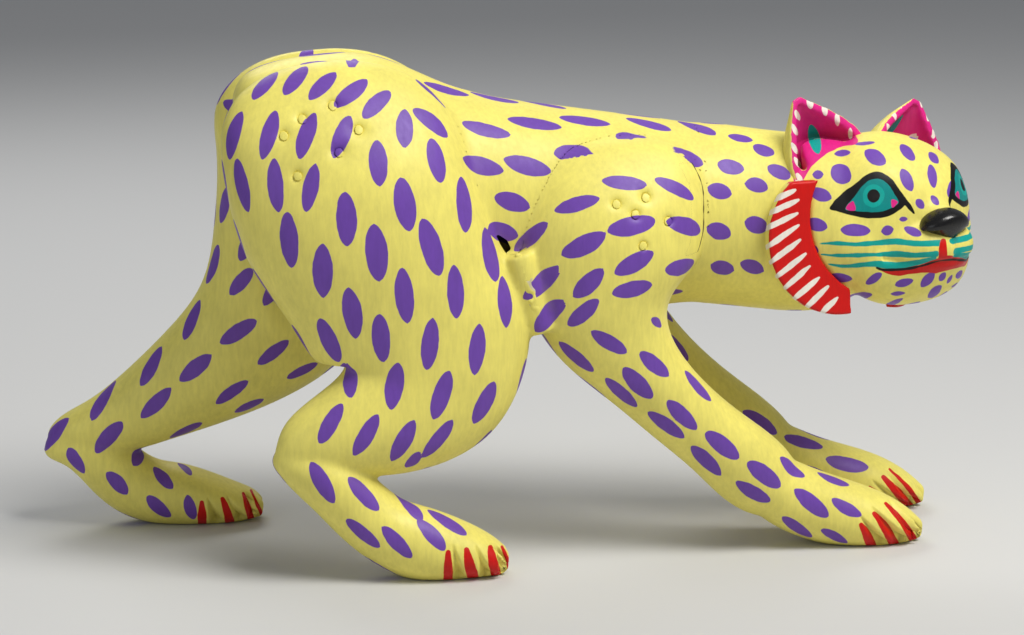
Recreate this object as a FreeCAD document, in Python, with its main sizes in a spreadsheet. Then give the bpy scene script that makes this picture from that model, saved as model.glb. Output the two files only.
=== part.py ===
import FreeCAD, Part
import os

# A carved and painted wooden big cat, stalking, made of glued and pegged blocks.
# Millimetres. +X is the way the body faces, +Y its left side, +Z up.
# The origin lies on the floor under the middle of the figure.
#
# Sizes stand in the sheet. The carving sections below are drawn on a template of the
# nominal length, height and width; the sheet's overall sizes stretch their places, and
# each limb's own girth scales its thickness.

SIZES = [
    ("body_length", 572.0, "stretched hock to far cheek"),
    ("back_height", 305.0, "floor to the top of the rump"),
    ("stance_width", 188.0, "across the outer edges of the hind paws"),
    ("middle_shift", 5.0, "section tables' middle to the middle of the figure's box"),
    ("torso_girth", 138.0, "depth of the torso at the haunches"),
    ("neck_girth", 108.0, "depth of the neck"),
    ("haunch_girth", 144.0, "widest side view of a haunch"),
    ("shoulder_girth", 114.0, "widest side view of a shoulder"),
    ("hind_paw_width", 46.0, "across a hind paw"),
    ("front_paw_width", 46.0, "across a front paw"),
    ("seat_half_width", 26.0, "centre plane to each leg's glued seat"),
    ("belly_height", 132.0, "floor to the lower edge of the leg seats"),
    ("toe_gap", 5.0, "width of the notch between two toes at the front"),
    ("toe_notch_depth", 17.0, "how far a notch runs back"),
    ("head_size", 102.0, "crown to chin"),
    ("head_x", 221.0, "head centre along the body"),
    ("head_y", -25.0, "head centre across the body"),
    ("head_z", 202.0, "head centre above the floor"),
    ("head_turn", -60.8, "degrees the face is turned to the animal's right"),
    ("head_nod", -4.8, "degrees the face is lifted"),
    ("ear_base_radius", 30.0, "half the width of an ear at its foot"),
    ("ear_tip_radius", 7.0, "half the width of an ear at its tip"),
    ("ear_height", 58.0, "foot of the ear, set in the head, to its tip"),
    ("ear_wall", 4.0, "thickness of the ear"),
    ("ear_spread", 28.0, "middle plane of the head to each ear's foot"),
    ("ear_foot_height", 23.0, "head centre up to each ear's foot"),
    ("ear_splay", 24.0, "degrees each ear leans outwards"),
    ("ear_tilt", 14.0, "degrees each ear leans back"),
    ("ruff_radius", 47.0, "outer edge of a cheek ruff"),
    ("ruff_inner_radius", 50.0, "inner edge of a cheek ruff, set in the cheek"),
    ("ruff_thickness", 8.0, "thickness of a cheek ruff"),
    ("ruff_sweep", 20.0, "degrees each ruff is swept back"),
    ("dowel_diameter", 16.0, "neck dowel"),
    ("dowel_length", 76.0, "neck dowel, half in the torso and half in the neck"),
    ("filler_radius", 9.0, "bead of filler between knee and elbow"),
    ("filler_length", 50.0, "length of that bead"),
    ("filler_lean", 17.0, "degrees that bead leans back"),
    ("peg_diameter", 5.0, "leg pegs"),
    ("peg_reach", 14.0, "centre plane to a peg's inner end"),
    ("peg_proud", 0.8, "how far a peg's end stands out of the carved surface"),
]

# What the section tables are drawn at. A sheet value that differs from its own entry
# here stretches the figure.
TEMPLATE = {
    "body_length": 572.0,
    "back_height": 305.0,
    "stance_width": 188.0,
    "torso_girth": 138.0,
    "neck_girth": 108.0,
    "haunch_girth": 144.0,
    "shoulder_girth": 114.0,
    "hind_paw_width": 50.0,
    "front_paw_width": 50.0,
    "head_size": 102.0,
}

# Sections: x, y, z, heading in degrees (0 forwards, -90 down, 180 backwards), half size
# in the side view, half size across. They run along each piece from end to end.
TORSO = [
    (-166, 0, 256, 14, 12, 10),
    (-163, 0, 256, 12, 26, 21),
    (-152, 0, 252, 6, 43, 37),
    (-131, 0, 242, -4, 60, 49),
    (-102, 0, 235, -10, 69, 58),
    (-68, 0, 224, -12, 67, 58),
    (-25, 0, 211, -8, 66, 57),
    (20, 0, 205, -3, 65, 57),
    (55, 0, 203.5, -2, 61.5, 55.5),
    (84, 0, 203, -1, 58, 53),
]
NECK_SEAT = (110, 0, 202, 0, 55, 51)
NECK = [
    (133, -2, 200, 0, 55.5, 50),
    (162, -8, 197, 0, 55, 50),
    (188, -16, 197, 0, 53, 49),
    (208, -22, 200, 0, 44, 42),
]
HAUNCH_RIGHT = [
    (-104, -24, 304, -92, 8, 3),
    (-104, -28, 301, -92, 24, 9),
    (-107, -33, 293, -92, 46, 16),
    (-110, -40, 272, -90, 66, 28),
    (-106, -46, 240, -84, 71, 38),
    (-94, -49, 203, -76, 71, 41),
    (-76, -53, 168, -76, 67, 36),
    (-61, -57, 134, -84, 63, 31),
    (-66, -60, 108, -118, 51, 28),
    (-92, -65, 92, -148, 36, 25),
    (-120, -68, 84, -152, 25, 20),
    (-141, -70, 77, -152, 14, 13),
    (-149, -71, 74, -152, 5, 5),
]
HIND_FOOT_RIGHT = [
    (-146, -70, 80, -52, 8, 9),
    (-133, -70, 70, -50, 18, 19),
    (-112, -71, 52, -52, 21, 22),
    (-92, -72, 33, -42, 22, 22),
    (-68, -72, 20, -12, 24, 25),
    (-45, -72, 15, -6, 20, 25),
    (-27, -72, 11, -6, 14, 22),
    (-14, -72, 8, -6, 6, 14),
]
HAUNCH_LEFT = [
    (-104, 24, 304, -92, 8, 3),
    (-104, 28, 301, -92, 24, 9),
    (-107, 33, 293, -92, 46, 16),
    (-110, 40, 272, -90, 66, 28),
    (-108, 46, 240, -94, 70, 38),
    (-112, 49, 203, -104, 67, 41),
    (-126, 54, 164, -118, 60, 36),
    (-150, 58, 125, -130, 48, 30),
    (-186, 62, 97, -140, 36, 26),
    (-222, 66, 76, -146, 26, 21),
    (-252, 69, 62, -152, 19, 17),
    (-276, 71, 56, -156, 11, 11),
    (-282.8, 71, 54, -156, 5, 5),
]
HIND_FOOT_LEFT = [
    (-280, 71, 60, -50, 7, 8),
    (-266, 71, 51, -46, 17, 18),
    (-246, 71, 37, -42, 21, 22),
    (-226, 71, 22, -28, 22, 23),
    (-204, 71, 17, -10, 21, 25),
    (-182, 71, 13, -8, 17, 25),
    (-164, 71, 10, -6, 12, 22),
    (-151, 71, 7, -6, 5, 14),
]
SHOULDER_RIGHT = [
    (61, -30, 254, -90, 14, 5),
    (61, -35, 250, -91, 30, 11),
    (60, -38, 243, -92, 42, 16),
    (56, -43, 222, -94, 52, 27),
    (51, -46, 196, -92, 56, 32),
    (51, -47, 170, -80, 52, 31),
    (54, -48, 142, -62, 38, 27),
    (70, -47, 116, -46, 27, 24),
    (94, -45, 90, -42, 23, 22),
    (120, -42, 67, -41, 23, 22),
    (144, -39, 46, -41, 24, 23),
    (160, -37, 33, -38, 18, 17),
    (170, -36, 26, -36, 7, 7),
]
FRONT_FOOT_RIGHT = [
    (146, -38, 45, -36, 18, 19),
    (168, -36, 30, -32, 23, 24),
    (192, -34, 20, -20, 23, 25),
    (216, -34, 14, -12, 20, 25),
    (235, -34, 10, -8, 14, 22),
    (249, -34, 7, -6, 6, 14),
]
SHOULDER_LEFT = [
    (62, 31, 254, -90, 14, 5),
    (62, 36, 250, -91, 30, 11),
    (60, 38, 243, -92, 42, 16),
    (56, 43, 222, -94, 52, 27),
    (51, 46, 196, -92, 57, 32),
    (52, 47, 170, -78, 54, 31),
    (60, 48, 142, -60, 40, 27),
    (80, 48, 118, -44, 29, 24),
    (104, 48, 94, -42, 25, 22),
    (132, 47, 70, -41, 24, 22),
    (160, 47, 47, -41, 24, 23),
    (178, 46, 33, -38, 18, 17),
    (189, 46, 26, -36, 7, 7),
]
FRONT_FOOT_LEFT = [
    (162, 46, 46, -36, 18, 19),
    (186, 46, 31, -32, 23, 24),
    (212, 46, 21, -20, 23, 25),
    (238, 46, 15, -12, 20, 25),
    (257, 46, 11, -8, 14, 22),
    (272.2, 46, 7, -6, 6, 14),
]

# Where the right knee and elbow meet: section place along the body, half size there.
KNEE = (-61, 63)
ELBOW = (54, 38)
GROOVE = 14
FILLER_FOOT = (9, -61, 143)

# Each ruff: side, how far its middle stands off the head's centre, its two discs' places,
# out to the side and up from the head's centre, and the place of its lower end.
RUFFS = {
    "cheek_ruff_right": (-1, 24, (36, -8), (6, 3), 32),
    "cheek_ruff_left": (1, 4, (12, -11), (-6, 3), 4),
}
RUFF_TOP = 27

# Toe notches in each paw: share of its width off its middle, how far set back from its tip.
TOE_NOTCHES = [(-0.25, 5), (0, 0), (0.25, 5)]
NOTCH_RUN_OUT = 6
NOTCH_BELOW_FLOOR = 10
NOTCH_HEIGHT = 60
FLOOR_THICKNESS = 60

# Peg places in the side view: x, z.
HIP_PEGS = [(-114, 280), (-100, 267), (-112, 255), (-136, 242), (-132, 273), (-143, 264)]
SHOULDER_PEGS = [(69, 223), (51, 220), (62, 214), (82, 209), (66, 196)]

doc = FreeCAD.newDocument("stalking_cat")
sheet = doc.addObject("Spreadsheet::Sheet", "Sizes")
for line, (alias, value, meaning) in enumerate(SIZES, start=1):
    sheet.set(f"A{line}", meaning)
    sheet.set(f"B{line}", str(value))
    sheet.setAlias(f"B{line}", alias)
doc.recompute()


FORWARDS = FreeCAD.Vector(1, 0, 0)
LEFTWARDS = FreeCAD.Vector(0, 1, 0)
UPWARDS = FreeCAD.Vector(0, 0, 1)


def share(alias, value):
    """An expression worth value on the template, that follows the sheet's cell."""
    return f"Sizes.{alias} * {value / TEMPLATE[alias]:.6f}"


def size(alias):
    """A cell's value, for what is set in code: turns and cutting blocks."""
    return float(sheet.get(alias))


def along(x):
    """A place along the body, counted from the tables' own middle."""
    return share("body_length", x) + " + Sizes.middle_shift"


def put(thing, x, y, z):
    """Bind a thing's place to the overall sizes."""
    thing.setExpression("Placement.Base.x", along(x))
    thing.setExpression("Placement.Base.y", share("stance_width", y))
    thing.setExpression("Placement.Base.z", share("back_height", z))


def ring(name, section, girth, flat):
    """One elliptical section, square to its heading; flat ones are wider than high."""
    x, y, z, heading, side, across = section
    oval = doc.addObject("Part::Ellipse", name)
    turn = FreeCAD.Rotation(LEFTWARDS, 90 - heading)
    if flat:
        turn = turn.multiply(FreeCAD.Rotation(UPWARDS, 90))
    oval.Placement = FreeCAD.Placement(FreeCAD.Vector(), turn)
    put(oval, x, y, z)
    oval.setExpression("MajorRadius", share(girth, max(side, across)))
    oval.setExpression("MinorRadius", share(girth, min(side, across)))
    return oval


def rings(name, sections, girth, flat=False):
    """The sections of one carved piece, from end to end."""
    return [ring(f"{name}_section_{i}", section, girth, flat)
            for i, section in enumerate(sections, start=1)]


def loft(name, ovals):
    """A carved piece drawn smoothly through its sections."""
    piece = doc.addObject("Part::Loft", name)
    piece.Sections = ovals
    piece.Solid = True
    return piece


def ellipsoid(name, forward, left, up, centre):
    """A rounded mass of the head, in the head's own frame, sized by the head."""
    mass = doc.addObject("Part::Ellipsoid", name)
    mass.setExpression("Radius2", share("head_size", forward))
    mass.setExpression("Radius3", share("head_size", left))
    mass.setExpression("Radius1", share("head_size", up))
    for axis, value in zip("xyz", centre):
        mass.setExpression(f"Placement.Base.{axis}", share("head_size", value))
    return mass


def fuse(name, pieces):
    joined = doc.addObject("Part::MultiFuse", name)
    joined.Shapes = pieces
    return joined


def cut(name, base, tool):
    result = doc.addObject("Part::Cut", name)
    result.Base = base
    result.Tool = tool
    return result


def common(name, base, tool):
    result = doc.addObject("Part::Common", name)
    result.Base = base
    result.Tool = tool
    return result


# The floor trims the soles flat.
floor = doc.addObject("Part::Box", "floor")
floor.setExpression("Length", "Sizes.body_length * 2")
floor.setExpression("Width", "Sizes.stance_width * 2")
floor.Height = FLOOR_THICKNESS
floor.setExpression("Placement.Base.x", "-Sizes.body_length")
floor.setExpression("Placement.Base.y", "-Sizes.stance_width")
floor.setExpression("Placement.Base.z", f"-{FLOOR_THICKNESS}")

# The torso keeps this core to itself: the legs are glued on its two flat sides.
core = doc.addObject("Part::Box", "core")
core.setExpression("Length", "Sizes.body_length * 2")
core.setExpression("Width", "Sizes.seat_half_width * 2")
core.setExpression("Height", "Sizes.back_height * 2")
core.setExpression("Placement.Base.x", "-Sizes.body_length")
core.setExpression("Placement.Base.y", "-Sizes.seat_half_width")
core.setExpression("Placement.Base.z", "Sizes.belly_height")


def toe_notches(name, foot, paw):
    """Three tapering notches between four toes, run back from the front of a paw."""
    tip_x, tip_y = foot[-1][0], foot[-1][1]
    notches = []
    for i, (offset, back) in enumerate(TOE_NOTCHES, start=1):
        notch = doc.addObject("Part::Wedge", f"{name}_notch_{i}")
        notch.setExpression("Xmin", "-Sizes.toe_gap / 2")
        notch.setExpression("Xmax", "Sizes.toe_gap / 2")
        notch.X2min = 0
        notch.X2max = 0
        notch.Zmin = 0
        notch.Z2min = 0
        notch.Zmax = NOTCH_HEIGHT
        notch.Z2max = NOTCH_HEIGHT
        notch.Ymin = 0
        notch.setExpression("Ymax", f"Sizes.toe_notch_depth + {NOTCH_RUN_OUT}")
        notch.Placement = FreeCAD.Placement(FreeCAD.Vector(), FreeCAD.Rotation(UPWARDS, 90))
        notch.setExpression("Placement.Base.x", along(tip_x) + f" + {NOTCH_RUN_OUT - back}")
        notch.setExpression(
            "Placement.Base.y",
            share("stance_width", tip_y) + f" + Sizes.{paw} * {offset}")
        notch.setExpression("Placement.Base.z", f"-{NOTCH_BELOW_FLOOR}")
        notches.append(notch)
    return fuse(f"{name}_notches", notches)


def carved_leg(name, limb, limb_girth, foot, paw):
    """A leg's block: limb and foot as one, soles flat, toes notched."""
    upper = loft(f"{name}_limb", rings(f"{name}_limb", limb, limb_girth))
    lower = loft(f"{name}_foot", rings(f"{name}_foot", foot, paw, flat=True))
    joined = fuse(f"{name}_joined", [upper, lower])
    standing = cut(f"{name}_standing", joined, floor)
    return cut(f"{name}_carved", standing, toe_notches(name, foot, paw))


def leg_pegs(name, carved, places, side):
    """Pegs through a leg into the torso. Their ends follow the carved surface, proud."""
    blanks = []
    for i, (x, z) in enumerate(places, start=1):
        blank = doc.addObject("Part::Cylinder", f"{name}_blank_{i}")
        blank.setExpression("Radius", "Sizes.peg_diameter / 2")
        blank.setExpression("Height", "Sizes.stance_width")
        blank.Placement = FreeCAD.Placement(
            FreeCAD.Vector(), FreeCAD.Rotation(FORWARDS, -90 * side))
        blank.setExpression("Placement.Base.x", along(x))
        blank.setExpression("Placement.Base.y", f"{side} * Sizes.peg_reach")
        blank.setExpression("Placement.Base.z", share("back_height", z))
        blanks.append(blank)
    drawn_out = doc.addObject("Part::Compound", f"{name}_reach")
    drawn_out.Links = [carved]
    drawn_out.setExpression("Placement.Base.y", f"{side} * Sizes.peg_proud")
    return common(name, fuse(f"{name}_blanks", blanks), drawn_out)


LEGS = {
    "hind_leg_right": (HAUNCH_RIGHT, "haunch_girth", HIND_FOOT_RIGHT, "hind_paw_width"),
    "hind_leg_left": (HAUNCH_LEFT, "haunch_girth", HIND_FOOT_LEFT, "hind_paw_width"),
    "front_leg_right": (SHOULDER_RIGHT, "shoulder_girth", FRONT_FOOT_RIGHT, "front_paw_width"),
    "front_leg_left": (SHOULDER_LEFT, "shoulder_girth", FRONT_FOOT_LEFT, "front_paw_width"),
}
PEGS = {
    "hip_pegs_right": ("hind_leg_right", HIP_PEGS, -1),
    "hip_pegs_left": ("hind_leg_left", HIP_PEGS, 1),
    "shoulder_pegs_right": ("front_leg_right", SHOULDER_PEGS, -1),
    "shoulder_pegs_left": ("front_leg_left", SHOULDER_PEGS, 1),
}
carved = {name: carved_leg(name, *parts) for name, parts in LEGS.items()}
pegs = {name: leg_pegs(name, carved[leg], places, side)
        for name, (leg, places, side) in PEGS.items()}
seated = {name: cut(f"{name}_seated", leg, core) for name, leg in carved.items()}
legs = {}
for group, (name, places, side) in PEGS.items():
    bored = cut(f"{name}_bored", seated[name], pegs[group])
    # A front leg is fitted against the hind leg beside it.
    behind = name.replace("front", "hind")
    legs[name] = bored if behind == name else cut(f"{name}_fitted", bored, carved[behind])

# The neck and the torso share the section at their glued joint.
neck_joint = ring("neck_joint", NECK_SEAT, "neck_girth", flat=False)
torso_block = loft("torso_block", rings("torso", TORSO, "torso_girth") + [neck_joint])
neck_block = loft("neck_block", [neck_joint] + rings("neck", NECK, "neck_girth"))

dowel = doc.addObject("Part::Cylinder", "neck_dowel")
dowel.setExpression("Radius", "Sizes.dowel_diameter / 2")
dowel.setExpression("Height", "Sizes.dowel_length")
dowel.Placement = FreeCAD.Placement(FreeCAD.Vector(), FreeCAD.Rotation(LEFTWARDS, 90))
dowel.setExpression(
    "Placement.Base.x", along(NECK_SEAT[0]) + " - Sizes.dowel_length / 2")
dowel.setExpression("Placement.Base.z", share("back_height", NECK_SEAT[2]))

# The head's masses, facing +X round the head's own centre.
head_masses = [
    ellipsoid("cranium", 44, 51, 47, (-2, 0, 4)),
    ellipsoid("cheeks", 35, 56, 33, (1, -2, -10)),
    ellipsoid("jaw", 32, 38, 29, (14, 0, -25)),
    ellipsoid("muzzle", 23, 27, 19, (31, 0, -17)),
    ellipsoid("nose_bridge", 24, 12, 13, (27, 0, 0)),
]
head_block = fuse("head_block", head_masses)


def turned(name, piece):
    """A head piece carried from the head's own frame to its place on the body."""
    carried = doc.addObject("Part::Compound", name)
    carried.Links = [piece]
    turn = FreeCAD.Rotation(size("head_turn"), size("head_nod"), 0)
    carried.Placement = FreeCAD.Placement(FreeCAD.Vector(), turn)
    carried.setExpression(
        "Placement.Base.x", share("body_length", 1) + " * Sizes.head_x + Sizes.middle_shift")
    carried.setExpression("Placement.Base.y", share("stance_width", 1) + " * Sizes.head_y")
    carried.setExpression("Placement.Base.z", share("back_height", 1) + " * Sizes.head_z")
    return carried


def half_cone(name, shrink):
    """Half of a blunt cone, open forwards; the inner one is smaller by the ear's wall."""
    cone = doc.addObject("Part::Cone", name)
    cone.Angle = 180
    cone.setExpression("Radius1", f"Sizes.ear_base_radius - {shrink} * Sizes.ear_wall")
    cone.setExpression("Radius2", f"Sizes.ear_tip_radius - {shrink} * Sizes.ear_wall")
    cone.setExpression("Height", f"Sizes.ear_height - {shrink} * Sizes.ear_wall")
    return cone


def ear(name, side, ruff_beside):
    """A cupped ear: a half cone hollowed by a smaller one, leaning outwards and back."""
    shell = cut(f"{name}_shell", half_cone(f"{name}_outer", 0), half_cone(f"{name}_inner", 1))
    splay = FreeCAD.Rotation(FORWARDS, -side * size("ear_splay"))
    lean = splay.multiply(FreeCAD.Rotation(LEFTWARDS, -size("ear_tilt")))
    shell.Placement = FreeCAD.Placement(
        FreeCAD.Vector(), lean.multiply(FreeCAD.Rotation(UPWARDS, 90)))
    shell.setExpression("Placement.Base.y", f"{side} * Sizes.ear_spread * " + share("head_size", 1))
    shell.setExpression("Placement.Base.z", "Sizes.ear_foot_height * " + share("head_size", 1))
    return cut(name, turned(f"{name}_in_place", shell), ruff_beside)


def disc(name, radius, side, place):
    """A round blank lying square to the forward direction."""
    out, up = place
    blank = doc.addObject("Part::Cylinder", name)
    blank.setExpression("Radius", f"Sizes.{radius}")
    blank.setExpression("Height", "Sizes.ruff_thickness")
    blank.Placement = FreeCAD.Placement(
        FreeCAD.Vector(), FreeCAD.Rotation(LEFTWARDS, 90))
    blank.setExpression("Placement.Base.y", f"{side} * ({share('head_size', out)})")
    blank.setExpression("Placement.Base.z", share("head_size", up))
    return blank


def ruff_block(name, side, lower_end):
    """What a crescent is sawn from: its sides trim the crescent's two ends."""
    block = doc.addObject("Part::Box", name)
    block.setExpression("Length", "Sizes.ruff_thickness")
    block.setExpression("Width", "Sizes.ruff_radius * 2")
    block.setExpression("Height", "Sizes.ruff_radius * 3")
    reach = f" - {0 if side > 0 else 1} * Sizes.ruff_radius * 2"
    block.setExpression("Placement.Base.y", share("head_size", side * lower_end) + reach)
    block.setExpression("Placement.Base.z", share("head_size", RUFF_TOP) + " - Sizes.ruff_radius * 3")
    return block


def ruff(name, side, stand_off, outer, inner, lower_end):
    """A crescent: one disc with a second one taken out of it, swept back by the cheek."""
    moon = cut(
        f"{name}_moon",
        disc(f"{name}_outer", "ruff_radius", side, outer),
        disc(f"{name}_inner", "ruff_inner_radius", side, inner))
    crescent = common(f"{name}_crescent", moon, ruff_block(f"{name}_block", side, lower_end))
    sweep = FreeCAD.Rotation(UPWARDS, side * size("ruff_sweep"))
    inner_face = stand_off - size("ruff_thickness") / 2
    crescent.Placement = FreeCAD.Placement(sweep.multVec(FORWARDS * inner_face), sweep)
    return turned(name, crescent)


ruffs = {name: ruff(name, *places) for name, places in RUFFS.items()}
head_trims = {
    "ear_right": ear("ear_right", -1, ruffs["cheek_ruff_right"]),
    "ear_left": ear("ear_left", 1, ruffs["cheek_ruff_left"]),
    **ruffs,
}
head_on_neck = fuse("head_on_neck", [neck_block, turned("head_in_place", head_block)])
socketed_head = cut("socketed_head", head_on_neck, fuse("head_sockets", list(head_trims.values())))
bored_head = cut("bored_head", socketed_head, dowel)
shoulders = fuse("shoulders", [seated["front_leg_right"], seated["front_leg_left"]])
head_and_neck = cut("head_and_neck", bored_head, shoulders)

seated_torso = cut("seated_torso", torso_block, fuse("leg_seats", list(seated.values())))
bored_torso = cut("bored_torso", seated_torso, fuse("peg_bores", list(pegs.values())))
torso = cut("torso", bored_torso, dowel)

# A bead of filler pressed into the groove where the right knee meets the right elbow.
# It sits midway between the two, and it thickens as they draw apart.
knee_front = along(KNEE[0]) + " + " + share("haunch_girth", KNEE[1])
elbow_back = along(ELBOW[0]) + " - " + share("shoulder_girth", ELBOW[1])
bead = doc.addObject("Part::Cylinder", "bead")
bead.setExpression(
    "Radius", f"Sizes.filler_radius + max(0; ({elbow_back}) - ({knee_front}) - {GROOVE}) / 2")
bead.setExpression("Height", "Sizes.filler_length")
bead.Placement = FreeCAD.Placement(
    FreeCAD.Vector(), FreeCAD.Rotation(LEFTWARDS, -size("filler_lean")))
put(bead, *FILLER_FOOT)
bead.setExpression("Placement.Base.x", f"(({knee_front}) + ({elbow_back})) / 2")
pressed_bead = cut("pressed_bead", bead, fuse("groove", [legs["hind_leg_right"], legs["front_leg_right"]]))
seam_filler = cut("seam_filler_right", pressed_bead, torso)

nodes = {
    "torso": torso,
    "head_and_neck": head_and_neck,
    "neck_dowel": dowel,
    "seam_filler_right": seam_filler,
    **legs,
    **pegs,
    **head_trims,
}
for name, node in nodes.items():
    node.Label = name
doc.recompute()

for thing in doc.Objects:
    if "Invalid" in thing.State or "Error" in thing.State:
        raise RuntimeError(f"{thing.Name} failed: {thing.State}")
whole = FreeCAD.BoundBox()
for name, node in nodes.items():
    if node.Shape.isNull() or not node.Shape.isValid() or not node.Shape.Solids:
        raise RuntimeError(f"{name} has no valid shape")
    whole.add(node.Shape.optimalBoundingBox(False))
    print(f"{name}: {len(node.Shape.Solids)} solid(s), {node.Shape.Volume / 1000:.1f} cm3")
print(f"whole: {whole.XMin:.1f}..{whole.XMax:.1f}, {whole.YMin:.1f}..{whole.YMax:.1f}, "
      f"{whole.ZMin:.1f}..{whole.ZMax:.1f}")

os.makedirs("parts", exist_ok=True)
for name, node in nodes.items():
    node.Shape.exportStep(f"parts/{name}.step")
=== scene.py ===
import bpy
import bmesh
import math
import numpy as np
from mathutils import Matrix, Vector
from mathutils.bvhtree import BVHTree


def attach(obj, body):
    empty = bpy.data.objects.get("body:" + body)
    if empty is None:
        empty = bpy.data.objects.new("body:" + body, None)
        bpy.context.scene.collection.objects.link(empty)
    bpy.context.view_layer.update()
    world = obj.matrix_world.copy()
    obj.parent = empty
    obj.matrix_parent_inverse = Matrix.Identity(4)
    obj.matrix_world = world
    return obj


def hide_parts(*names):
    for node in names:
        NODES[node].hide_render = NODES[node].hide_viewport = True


# A carved wooden big cat, stalking, painted yellow with purple spots.
# Lengths in the tables below are millimetres; +X is the way the body faces.
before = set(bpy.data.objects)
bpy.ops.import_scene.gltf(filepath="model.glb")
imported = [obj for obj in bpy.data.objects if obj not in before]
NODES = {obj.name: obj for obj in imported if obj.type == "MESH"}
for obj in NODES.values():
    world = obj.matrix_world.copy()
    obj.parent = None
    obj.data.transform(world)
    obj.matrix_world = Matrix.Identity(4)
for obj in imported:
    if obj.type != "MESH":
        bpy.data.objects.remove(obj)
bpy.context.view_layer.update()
MM = 0.001
rng = np.random.default_rng(7)

# The figure's own middle stands this far along from the middle of its outline.
MIDDLE = 5.0
HEAD_CENTRE = np.array([221 + MIDDLE, -25, 202])
HEAD_TURN = -60.8
HEAD_NOD = -4.8

turn, nod = math.radians(HEAD_TURN), math.radians(HEAD_NOD)
FORWARD = np.array([math.cos(turn) * math.cos(nod), math.sin(turn) * math.cos(nod), -math.sin(nod)])
LEFT = np.array([-math.sin(turn), math.cos(turn), 0])
UP = np.cross(FORWARD, LEFT)

# The far cheek is filled out by this much, this way, and the face's middle plane follows.
CHEEK_FILL = 9.0
CHEEK_WAY = np.array([0.961, -0.275, 0])
FACE_TURN = math.radians(-63)
FACE_ACROSS = np.array([-math.sin(FACE_TURN), math.cos(FACE_TURN), 0])
FACE_MIRROR = (HEAD_CENTRE, FACE_ACROSS)

# A painter sits where the camera stands and marks upright boards that cut the figure;
# each mark is carried on until it meets the wood. The boards' own zero is EDGE.
PAINTER = Vector((-257.5 + MIDDLE, -1825, 520))
EDGE = MIDDLE - 4
CAMERA_AIM = Vector((MIDDLE, 7, 138))
CAMERA_LENS = 108.3
LAMP_AIM = Vector((0, 0, 0.15))


# ---------------------------------------------------------------- camera and studio
def add_camera():
    camera = bpy.data.cameras.new("camera")
    camera.sensor_width = 36
    camera.lens = CAMERA_LENS
    seat = bpy.data.objects.new("camera", camera)
    bpy.context.scene.collection.objects.link(seat)
    seat.location = PAINTER * MM
    aim = CAMERA_AIM * MM - seat.location
    seat.rotation_euler = aim.to_track_quat("-Z", "Y").to_euler()
    bpy.context.scene.camera = seat


def soft_light(name, place, size, watts, colour=(1, 1, 1)):
    lamp = bpy.data.lights.new(name, "AREA")
    lamp.shape = "RECTANGLE"
    lamp.size, lamp.size_y = size
    lamp.energy = watts
    lamp.color = colour
    seat = bpy.data.objects.new(name, lamp)
    bpy.context.scene.collection.objects.link(seat)
    seat.location = place
    aim = LAMP_AIM - seat.location
    seat.rotation_euler = aim.to_track_quat("-Z", "Y").to_euler()


def add_studio():
    soft_light("key", (0.75, -0.75, 1.7), (0.9, 0.9), 35, (1.0, 0.98, 0.94))
    soft_light("fill", (-1.7, -1.5, 0.9), (1.4, 1.4), 6, (0.94, 0.97, 1.0))
    soft_light("rim", (-0.3, 1.5, 1.5), (1.2, 0.8), 12)
    world = bpy.data.worlds.new("studio")
    bpy.context.scene.world = world
    world.use_nodes = True
    world.node_tree.nodes["Background"].inputs[0].default_value = (0.9, 0.93, 1, 1)
    world.node_tree.nodes["Background"].inputs[1].default_value = 0.25
    bpy.context.scene.view_settings.view_transform = "Standard"
    bpy.ops.mesh.primitive_plane_add(size=8)
    floor = bpy.context.object
    floor.name = "studio_floor"
    floor.location.z = -0.0005
    paper = bpy.data.materials.new("pale_paper")
    paper.use_nodes = True
    shader = paper.node_tree.nodes["Principled BSDF"]
    shader.inputs["Base Color"].default_value = (0.6, 0.6, 0.59, 1)
    shader.inputs["Roughness"].default_value = 0.9
    floor.data.materials.append(paper)


# ---------------------------------------------------------------- mesh helpers
def deselect():
    if bpy.context.object and bpy.context.object.mode != "OBJECT":
        bpy.ops.object.mode_set(mode="OBJECT")
    bpy.ops.object.select_all(action="DESELECT")


def pick(obj):
    deselect()
    obj.select_set(True)
    bpy.context.view_layer.objects.active = obj


def points(obj):
    co = np.empty(len(obj.data.vertices) * 3, np.float32)
    obj.data.vertices.foreach_get("co", co)
    return co.reshape(-1, 3).astype(float)


def normals_of(obj):
    held = np.empty(len(obj.data.vertices) * 3, np.float32)
    obj.data.vertices.foreach_get("normal", held)
    return held.reshape(-1, 3).astype(float)


def move_points(obj, co):
    obj.data.vertices.foreach_set("co", co.astype(np.float32).ravel())
    obj.data.update()


def copy_of(node, name):
    """A merged copy of a CAD node's mesh, free to be reworked."""
    source = NODES[node]
    piece = bpy.data.objects.new(name, source.data.copy())
    bpy.context.scene.collection.objects.link(piece)
    piece.data.materials.clear()
    pick(piece)
    bpy.ops.object.mode_set(mode="EDIT")
    bpy.ops.mesh.select_all(action="SELECT")
    bpy.ops.mesh.remove_doubles(threshold=0.00001)
    bpy.ops.object.mode_set(mode="OBJECT")
    return piece


def apply(obj, kind, **settings):
    pick(obj)
    step = obj.modifiers.new(kind.lower(), kind)
    for key, value in settings.items():
        setattr(step, key, value)
    bpy.ops.object.modifier_apply(modifier=step.name)


def edges_of(obj):
    pairs = np.empty(len(obj.data.edges) * 2, np.int32)
    obj.data.edges.foreach_get("vertices", pairs)
    return pairs.reshape(-1, 2)


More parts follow.
